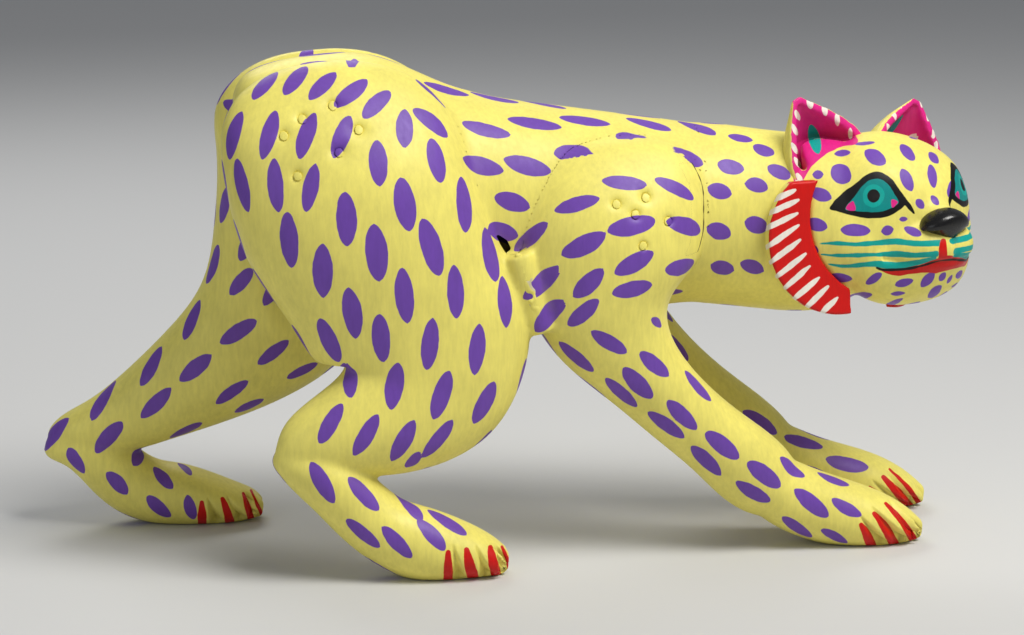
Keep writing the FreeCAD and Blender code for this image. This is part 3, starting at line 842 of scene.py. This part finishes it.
# How the grain of each limb runs: along, up, heading in degrees.
LIMBS = {
    "hind_leg_right": [(-105, 290, -92), (-94, 203, -76), (-61, 134, -84), (-92, 92, -148),
                       (-141, 77, -152), (-125, 60, -50), (-92, 33, -42), (-40, 15, -6)],
    "hind_leg_left": [(-105, 290, -92), (-112, 203, -104), (-150, 125, -130), (-222, 76, -146),
                      (-280, 56, -152), (-262, 48, -46), (-226, 22, -28), (-175, 12, -6)],
    "front_leg_right": [(56, 230, -94), (51, 170, -80), (70, 116, -46), (144, 46, -41),
                        (192, 20, -20), (235, 10, -8)],
    "front_leg_left": [(56, 230, -94), (52, 170, -78), (80, 118, -44), (160, 47, -41),
                       (212, 21, -20), (257, 11, -8)],
    "torso": [(-160, 250, -8), (-60, 230, -12), (20, 205, -3), (100, 203, 0)],
    "head_and_neck": [(110, 202, 0), (160, 197, 0), (210, 200, -10)],
}


def limb_way(node):
    rows = np.array(LIMBS[node], float)

    def way(place):
        gap = np.hypot(rows[:, 0] + MIDDLE - place[0], rows[:, 1] - place[2])
        pull = 1 / (gap + 8) ** 3
        turn = np.radians(rows[:, 2])
        along = np.sum(np.cos(turn) * pull), np.sum(np.sin(turn) * pull)
        return np.array([along[0], 0, along[1]]) / math.hypot(*along)
    return way


def head_way(place):
    """Round the head the spots point at the face; along the neck they run with it."""
    local = (np.array(place) - HEAD_CENTRE)
    if place[0] < 170:
        return np.array([1, 0, -0.25])
    return FORWARD * 0.9 - UP * 0.4 + 0.002 * local


def paint_body(canvases):
    for node, depth, rows in ROWS:
        for row in rows:
            row_of_spots(canvases[node], depth, *row)
    everything = all_surfaces(canvases)
    for node, canvas in canvases.items():
        if node == "head_and_neck":
            wander(canvas, head_way, 13, 1.6, 15, 8.5, everything)
        else:
            wander(canvas, limb_way(node), 17.5, 1.9, 27, 9.5, everything)


def paint_claws(canvases):
    """A red claw down the front of each toe, on both sides of each paw's point."""
    for node, (tip, middle) in PAWS.items():
        canvas = canvases[node]
        depth, _, claws = TOES[node]
        near = near_paw(canvas.co, tip, middle)
        for mirror in both_sides(middle):
            look = Drawing(canvas, depth, mirror)
            side = (canvas.co[:, 1] - middle) * (1 if mirror is None else -1)
            look.seen &= near & (side < 5)
            for guide, widths in claws if mirror is None else claws[:2]:
                look.stroke("claw", guide, widths)


# ---------------------------------------------------------------- ears and ruffs
EAR_FOOT = (0, 28, 23)
EAR_SPLAY, EAR_TILT, EAR_HEIGHT = 24.0, 14.0, 58.0
EAR_DASHES = [
    (162.5, 270.5, -68, 7, 2.8), (161, 262, -64, 8, 2.8), (161, 251, -62, 8, 2.8),
    (163, 242.5, -58, 8, 2.8), (164.2, 233.5, -54, 7, 3.0), (170, 278, -82, 8, 4.0),
    (179, 274, -85, 9, 3.6), (186.5, 267.5, -86, 8.5, 3.2), (194.5, 259, -88, 7.5, 2.8),
]
LOW_EAR_DASHES = [(163.5, 229, -60, 7, 2.6)]
# The ear's cup runs on down the side of the skull to a point above the ruff.
EAR_HOLLOW = [
    (199.3, 254.8), (189, 251), (179.3, 246.4), (171.7, 239.9), (166.9, 232.1), (163.2, 225),
    (160.5, 234.1), (158.6, 249), (158.9, 268), (172, 284), (186, 272),
]
RUFF_STRIPES = [
    ((149.5, 220.5), (162, 226)), ((144, 211.5), (164, 220)), ((143, 202.5), (163.5, 212)),
    ((144.5, 191.5), (164.5, 205)), ((148, 183), (165.5, 196)), ((152, 174.5), (169, 187.5)),
    ((157, 167.5), (171.5, 180)), ((162.5, 160.5), (177.5, 173)), ((170.5, 155.5), (183, 167.5)),
    ((179.5, 151.5), (189, 160.5)),
]


def rework(node, name, voxel, rounds):
    """A closed, even copy of a small part with its edges softened."""
    piece = copy_of(node, name)
    apply(piece, "REMESH", mode="VOXEL", voxel_size=voxel * MM, adaptivity=0)
    relax(piece, rounds, 0.5)
    pick(piece)
    bpy.ops.object.shade_smooth()
    return piece


def in_ear(co, side):
    """Each point's height up the ear's own axis and its spoke out from that axis."""
    splay, tilt = math.radians(EAR_SPLAY) * side, math.radians(EAR_TILT)
    axis = np.array([-math.sin(tilt), math.sin(splay) * math.cos(tilt), math.cos(splay) * math.cos(tilt)])
    axis /= np.linalg.norm(axis)
    foot = in_head(co) - np.array([EAR_FOOT[0], EAR_FOOT[1] * side, EAR_FOOT[2]])
    height = foot @ axis
    return height, foot - height[:, None] * axis, axis


def shape_ear(ear, side):
    """Rounds the ear's straight sides into a leaf and its cut top into a tip."""
    height, spoke, axis = in_ear(points(ear) / MM, side)
    s = np.clip(height / EAR_HEIGHT, 0, 1)
    swell = 1 + 0.42 * np.sin(math.pi * s) ** 1.2
    swell *= np.sqrt(np.clip(1 - ((s - 0.7) / 0.34).clip(0, 1) ** 2, 0.05, 1))
    shorter = 1.0 if side < 0 else 0.84
    local = (spoke * swell[:, None] + (height * np.where(height > 0, shorter, 1))[:, None] * axis
             + np.array([EAR_FOOT[0], EAR_FOOT[1] * side, EAR_FOOT[2]]))
    place = (HEAD_CENTRE + np.outer(local[:, 0], FORWARD) + np.outer(local[:, 1], LEFT)
             + np.outer(local[:, 2], UP))
    move_points(ear, place * MM)
    relax(ear, 3, 0.4)


def paint_ear(canvas, side):
    out = np.stack([canvas.out @ FORWARD, canvas.out @ LEFT, canvas.out @ UP], axis=1)
    _, spoke, _ = in_ear(canvas.co, side)
    reach = np.linalg.norm(spoke, axis=1)
    cup = np.sum(out * spoke, axis=1) / np.maximum(reach, 1e-6)
    canvas.press("inside", (cup - 0.45) * 4)
    look = Drawing(canvas, -70, FACE_MIRROR if side > 0 else None)
    for along, up, lean, length, width in EAR_DASHES:
        look.leaf("dash", (along, up), lean, length, width)
    look.leaf("leaf", (173, 256), -74, 18.5, 7)


def paint_ruff(canvas, side):
    look = Drawing(canvas, -70, FACE_MIRROR if side > 0 else None)
    for low, high in RUFF_STRIPES:
        look.stroke("dash", [low, high], [2.6, 3.6, 3.4, 1.6])
    ahead = canvas.out @ FORWARD
    canvas.press("front", (-ahead - 0.2) * 4)


NOSE_SHIFT = np.array([6.2, -1.8, 0])


def carve_nose():
    """A rounded triangular nose, its upper side a flatter facet."""
    bpy.ops.mesh.primitive_uv_sphere_add(segments=48, ring_count=28, radius=1)
    nose = bpy.context.object
    nose.name = "nose"
    co = points(nose)
    f, l, u = co.T
    narrow = 1 - 0.5 * smoothstep(0.1, -1.0, u)
    l = l * narrow * (1 + 0.06 * np.cos(3 * u))
    f = f * (1 - 0.25 * smoothstep(0.2, -0.9, u)) + 0.12 * smoothstep(0.1, 0.6, u) * f
    u = np.where(u > 0, u * 0.8 + 0.06, u)
    u = u - 0.16 * l ** 2 * (u > -0.2)
    place = (HEAD_CENTRE + NOSE_SHIFT + np.outer(46.5 + 12.5 * f, FORWARD)
             + np.outer(16 * l, LEFT) + np.outer(-2.8 + 11.6 * u, UP))
    move_points(nose, place * MM)
    pick(nose)
    bpy.ops.object.mode_set(mode="EDIT")
    bpy.ops.mesh.select_all(action="SELECT")
    bpy.ops.mesh.normals_make_consistent(inside=False)
    bpy.ops.object.mode_set(mode="OBJECT")
    apply(nose, "SUBSURF", levels=1)
    pick(nose)
    bpy.ops.object.shade_smooth()
    return nose


def lumps(mm, count, size):
    """Soft seeded lumps over a set of points, above and below nothing."""
    value = np.zeros(len(mm))
    for _ in range(count):
        centre = mm[rng.integers(len(mm))]
        value += rng.normal(0, 1) * np.exp(-np.sum((mm - centre) ** 2, axis=1) / size ** 2)
    return value


def crumble(piece, depth, size):
    """Roughens a surface."""
    mm = points(piece) / MM
    out = normals_of(piece)
    move_points(piece, (mm + out * (depth * lumps(mm, 160, size))[:, None]) * MM)


def thin_bead(bead):
    """Presses the filler into the seam so that only a narrow ridge stands out."""
    mm = points(bead) / MM
    middle = mm.mean(axis=0)
    axis = np.linalg.svd(mm - middle, full_matrices=False)[2][0]
    along = (mm - middle) @ axis
    spoke = mm - middle - np.outer(along, axis)
    squeeze = 0.46 * np.sqrt(np.clip(1.04 - (along / np.abs(along).max()) ** 2, 0.04, 1))
    place = middle + np.outer(along, axis) + spoke * squeeze[:, None]
    place[:, 1] -= 4.2
    move_points(bead, place * MM)


# ---------------------------------------------------------------- paint
YELLOW = (0.84, 0.745, 0.165, 1)
PURPLE = (0.16, 0.064, 0.40, 1)
RED = (0.60, 0.005, 0.003, 1)
MAGENTA = (0.72, 0.018, 0.235, 1)
TEAL = (0.002, 0.36, 0.31, 1)
DEEP_TEAL = (0.001, 0.25, 0.235, 1)
BLACK = (0.004, 0.0035, 0.0035, 1)
CRACK = (0.045, 0.03, 0.012, 1)
CRACK_HALF = 0.36
CREAM = (0.84, 0.77, 0.68, 1)
PLASTER = (0.62, 0.55, 0.36, 1)
BARE_WOOD = (0.55, 0.37, 0.20, 1)
# The brown painted into the hollows as shade.
HOLLOW_SHADE = (0.23, 0.17, 0.045, 1)


def lay(tree, kind, place, **inputs):
    """A node at a place on the sheet, its inputs linked or set by name or number."""
    node = tree.nodes.new(kind)
    node.location = place
    for key, value in inputs.items():
        socket = node.inputs[int(key[1:])] if key[0] == "i" and key[1:].isdigit() else node.inputs[key]
        if isinstance(value, bpy.types.NodeSocket):
            tree.links.new(value, socket)
        else:
            socket.default_value = value
    return node


def ranged(tree, value, low, high, to_low, to_high, place):
    """A value carried from one range to another, and kept inside it."""
    node = lay(tree, "ShaderNodeMapRange", place, Value=value)
    for name, number in (("From Min", low), ("From Max", high), ("To Min", to_low), ("To Max", to_high)):
        node.inputs[name].default_value = number
    return node


def times(tree, value, other, place):
    node = lay(tree, "ShaderNodeMath", place, i0=value, i1=other)
    node.operation = "MULTIPLY"
    return node.outputs[0]


def brush_marks():
    """Shared by every paint: how a brush leaves tone, edges and ridges."""
    group = bpy.data.node_groups.new("brush_marks", "ShaderNodeTree")
    for name in ("Tone", "Wobble", "Height", "ShadePatches"):
        group.interface.new_socket(name, in_out="OUTPUT", socket_type="NodeSocketFloat")
    end = lay(group, "NodeGroupOutput", (900, 0))
    where = lay(group, "ShaderNodeTexCoord", (-700, 0))
    pulled = lay(group, "ShaderNodeMapping", (-500, 150), Vector=where.outputs["Object"])
    pulled.inputs["Scale"].default_value = (420, 420, 70)
    pulled.inputs["Rotation"].default_value = (0.1, 0.35, 0.2)
    streak = lay(group, "ShaderNodeTexNoise", (-250, 250), Vector=pulled.outputs[0],
                 Scale=1.0, Detail=3.0, Roughness=0.6)
    cloud = lay(group, "ShaderNodeTexNoise", (-250, 0), Vector=where.outputs["Object"],
                Scale=38.0, Detail=4.0, Roughness=0.6)
    edge = lay(group, "ShaderNodeTexNoise", (-250, -250), Vector=where.outputs["Object"],
               Scale=170.0, Detail=1.0)
    speck = lay(group, "ShaderNodeTexNoise", (-250, -500), Vector=where.outputs["Object"],
                Scale=900.0, Detail=2.0)
    tone = lay(group, "ShaderNodeMix", (100, 200), Factor=0.45, A=cloud.outputs[0], B=streak.outputs[0])
    wobble = ranged(group, edge.outputs[0], 0.3, 0.7, -0.18, 0.18, (100, -200))
    ridge = lay(group, "ShaderNodeMix", (100, 0), Factor=0.3, A=streak.outputs[0], B=speck.outputs[0])
    # Patches that break up the painted shade in the hollows.
    shade_patches = ranged(group, cloud.outputs[0], 0.42, 0.68, 0, 1, (300, -450))
    for name, made in (("Tone", tone), ("Wobble", wobble), ("Height", ridge), ("ShadePatches", shade_patches)):
        group.links.new(made.outputs[0], end.inputs[name])
    return group


def painted(name, base, coats, marks, rough=0.42, gloss=0.28):
    """Paint in coats on a base: a coat shows where its own distance is below nothing."""
    made = bpy.data.materials.new(name)
    made.use_nodes = True
    tree = made.node_tree
    shader = tree.nodes["Principled BSDF"]
    brush = tree.nodes.new("ShaderNodeGroup")
    brush.node_tree = marks
    brush.location = (-1200, -300)
    colour, relief = None, None
    for i, (layer, shade) in enumerate(coats):
        held = lay(tree, "ShaderNodeAttribute", (-1200, 300 + 200 * i))
        held.attribute_name = layer
        distance = held.outputs["Fac"]
        if layer == "crack":
            apart = lay(tree, "ShaderNodeMath", (-1100, 300 + 200 * i), i0=distance)
            apart.operation = "ABSOLUTE"
            line = lay(tree, "ShaderNodeMath", (-1050, 300 + 200 * i), i0=apart.outputs[0], i1=-CRACK_HALF)
            distance = line.outputs[0]
        edge = lay(tree, "ShaderNodeMath", (-1000, 300 + 200 * i), i0=distance,
                   i1=brush.outputs["Wobble"])
        cover = ranged(tree, edge.outputs[0], 0.16, -0.16, 0, 1, (-800, 300 + 200 * i))
        mix = lay(tree, "ShaderNodeMix", (-600, 300 + 200 * i), Factor=cover.outputs[0])
        mix.data_type = "RGBA"
        mix.inputs[7].default_value = shade
        if colour is None:
            mix.inputs[6].default_value = base
            relief = cover.outputs[0]
        else:
            tree.links.new(colour, mix.inputs[6])
            top = lay(tree, "ShaderNodeMath", (-400, 300 + 200 * i), i0=relief, i1=cover.outputs[0])
            top.operation = "MAXIMUM"
            relief = top.outputs[0]
        tree.links.new(cover.outputs[0], mix.inputs[0])
        colour = mix.outputs[2]
    if colour is None:
        plain = lay(tree, "ShaderNodeRGB", (-600, 300))
        plain.outputs[0].default_value = base
        colour = plain.outputs[0]
    tone = ranged(tree, brush.outputs["Tone"], 0.3, 0.7, 0.84, 1.08, (-800, 0))
    toned = tree.nodes.new("ShaderNodeMix")
    toned.data_type = "RGBA"
    toned.blend_type = "MULTIPLY"
    toned.inputs[0].default_value = 1
    tree.links.new(colour, toned.inputs[6])
    tree.links.new(tone.outputs[0], toned.inputs[7])
    # Painted shade: the colour is darkened towards brown where the surface is hollow (creases, toe
    # grooves, seams), in patches.
    hollow = lay(tree, "ShaderNodeAttribute", (-1200, -600))
    hollow.attribute_name = "hollow"
    hollow_shade_mask = times(tree, hollow.outputs["Fac"], brush.outputs["ShadePatches"], (-800, -600))
    thin = times(tree, hollow_shade_mask, 0.55, (-600, -600))
    hollow_shaded = tree.nodes.new("ShaderNodeMix")
    hollow_shaded.data_type = "RGBA"
    tree.links.new(thin, hollow_shaded.inputs[0])
    tree.links.new(toned.outputs[2], hollow_shaded.inputs[6])
    hollow_shaded.inputs[7].default_value = HOLLOW_SHADE
    tree.links.new(hollow_shaded.outputs[2], shader.inputs["Base Color"])
    sheen = ranged(tree, brush.outputs["Tone"], 0.3, 0.7, rough + 0.1, rough - 0.06, (-400, -200))
    tree.links.new(sheen.outputs[0], shader.inputs["Roughness"])
    rise = brush.outputs["Height"]
    if relief is not None:
        body = times(tree, relief, 0.35, (-400, -400))
        both = lay(tree, "ShaderNodeMath", (-250, -400), i0=body, i1=rise)
        rise = both.outputs[0]
    shader.inputs["Specular IOR Level"].default_value = gloss
    bump = lay(tree, "ShaderNodeBump", (-100, -400), Height=rise, Strength=0.45, Distance=0.00022)
    tree.links.new(bump.outputs[0], shader.inputs["Normal"])
    return made


FACE_COATS = [
    ("purple", PURPLE), ("ear_hollow", MAGENTA), ("ear_leaf", TEAL), ("dash", CREAM),
    ("claw", RED), ("whisker", TEAL), ("eye_line", BLACK),
    ("eye_opening", DEEP_TEAL), ("eye_ring", TEAL), ("eye_corner", MAGENTA), ("pupil", BLACK),
    ("mouth", RED), ("lip_shadow", BLACK), ("crack", CRACK),
]


def settle_pegs(pegs, leg, places, side):
    """Rubs each peg's end down to a low bump on the carved surface round it."""
    mm = points(pegs) / MM
    for along, up in places:
        along += MIDDLE
        level = []
        for dx, dz in ((5, 0), (-5, 0), (0, 5), (0, -5)):
            hit = leg.tree.ray_cast(Vector((along + dx, side * 300, up + dz)), Vector((0, -side, 0)))
            level.append(hit[0].y)
        slope_x, slope_z = (level[0] - level[1]) / 10, (level[2] - level[3]) / 10
        dx, dz = mm[:, 0] - along, mm[:, 2] - up
        plane = np.mean(level) + slope_x * dx + slope_z * dz
        out = np.hypot(dx, dz)
        cap = 0.08 + 0.4 * np.clip(1 - (out / 2.8) ** 2, 0, 1)
        high = (out < 4.5) & ((mm[:, 1] - plane) * side > cap)
        mm[:, 1] = np.where(high, plane + side * cap, mm[:, 1])
    move_points(pegs, mm * MM)


def paint_crack(canvases):
    """The old glue line at the foot of the neck has opened on the right."""
    for node in ("torso", "head_and_neck", "front_leg_right"):
        canvas = canvases[node]
        x, y, z = canvas.co.T
        line = 107.5 + MIDDLE - 5 * ((z - 213) / 24) ** 2 + 0.6 * np.sin(z / 5)
        near = np.nonzero((y < -20) & (z > 188) & (z < 240) & (np.abs(x - line) < FAR))[0]
        canvas.layer("crack")[near] = (x - line)[near]


def stand_in(piece, node, material):
    piece.data.materials.clear()
    piece.data.materials.append(material)
    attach(piece, "root")
    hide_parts(node)


# ---------------------------------------------------------------- the figure
PEG_GROUPS = {"hip_pegs_right": "hind_leg_right", "hip_pegs_left": "hind_leg_left",
              "shoulder_pegs_right": "front_leg_right", "shoulder_pegs_left": "front_leg_left"}


def carve_blocks():
    """The body's six blocks, worked as one surface and then told apart again."""
    skin = carve_skin()
    refine(skin)
    cut_toes(skin)
    cut_face(skin)
    remember(skin)
    blocks = split(skin, nearest_block(skin))
    bpy.data.objects.remove(skin)
    return blocks


def fill_pegs(canvases):
    """The filled pegs' ends, each set rubbed down to the leg that it holds."""
    pegs = {}
    for node, leg in PEG_GROUPS.items():
        piece = rework(node, f"filled_{node}", 0.8, 3)
        kind, side = node.rsplit("_", 1)
        settle_pegs(piece, canvases[leg], PEG_PLACES[kind], -1 if side == "right" else 1)
        pegs[node] = Canvas(piece)
    return pegs


def make_body():
    wood_paint = painted("yellow_with_spots", YELLOW,
                         [("purple", PURPLE), ("claw", RED), ("crack", CRACK)], marks)
    face_paint = painted("yellow_with_face", YELLOW, FACE_COATS, marks)
    canvases = {node: Canvas(piece) for node, piece in carve_blocks().items()}
    pegs = fill_pegs(canvases)
    # A spot laid on one block runs on over its neighbours and its pegs.
    for node, canvas in canvases.items():
        canvas.companions = [other for other in canvases.values() if other is not canvas]
        canvas.companions += [pegs[p] for p, leg in PEG_GROUPS.items() if leg == node]
    paint_crack(canvases)
    paint_face(canvases["head_and_neck"])
    paint_claws(canvases)
    paint_body(canvases)
    for node, canvas in {**canvases, **pegs}.items():
        head = node == "head_and_neck"
        canvas.finish([layer for layer, _ in FACE_COATS] if head else ["purple", "claw", "crack"])
        stand_in(canvas.piece, node, face_paint if head else wood_paint)


def make_ear(name, side, paint):
    leaf = rework(f"ear_{name}", f"cupped_ear_{name}", 0.9, 6)
    shape_ear(leaf, side)
    ear = Canvas(leaf)
    paint_ear(ear, side)
    ear.finish(["purple", "inside", "leaf", "dash"])
    stand_in(ear.piece, f"ear_{name}", paint)


def make_ruff(name, side, paint):
    ruff = Canvas(rework(f"cheek_ruff_{name}", f"striped_ruff_{name}", 0.8, 6))
    paint_ruff(ruff, side)
    ruff.finish(["front", "dash"])
    stand_in(ruff.piece, f"cheek_ruff_{name}", paint)


def make_nose():
    nose = carve_nose()
    Canvas(nose).finish([])
    nose.data.materials.append(painted("nose_black", BLACK, [], marks, rough=0.26, gloss=0.5))
    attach(nose, "root")


def make_filler():
    bead = rework("seam_filler_right", "filler_bead", 0.7, 5)
    thin_bead(bead)
    crumble(bead, 0.45, 1.7)
    canvas = Canvas(bead)
    canvas.press("paint_left", lumps(canvas.co, 90, 3) - 0.5)
    canvas.finish(["paint_left"])
    paint = painted("rough_filler", PLASTER, [("paint_left", YELLOW)], marks, rough=0.7)
    stand_in(bead, "seam_filler_right", paint)


def finish_dowel():
    """The dowel stays as it was turned, in bare wood."""
    dowel = NODES["neck_dowel"]
    dowel.data.materials.clear()
    dowel.data.materials.append(painted("bare_wood", BARE_WOOD, [], marks, rough=0.65))


add_camera()
add_studio()
marks = brush_marks()
make_body()
ear_paint = painted("ear_paint", YELLOW, [("purple", PURPLE), ("inside", MAGENTA), ("leaf", TEAL),
                                          ("dash", CREAM)], marks)
ruff_paint = painted("ruff_paint", YELLOW, [("front", RED), ("dash", CREAM)], marks)
for side, name in ((-1, "right"), (1, "left")):
    make_ear(name, side, ear_paint)
    make_ruff(name, side, ruff_paint)
make_nose()
make_filler()
finish_dowel()
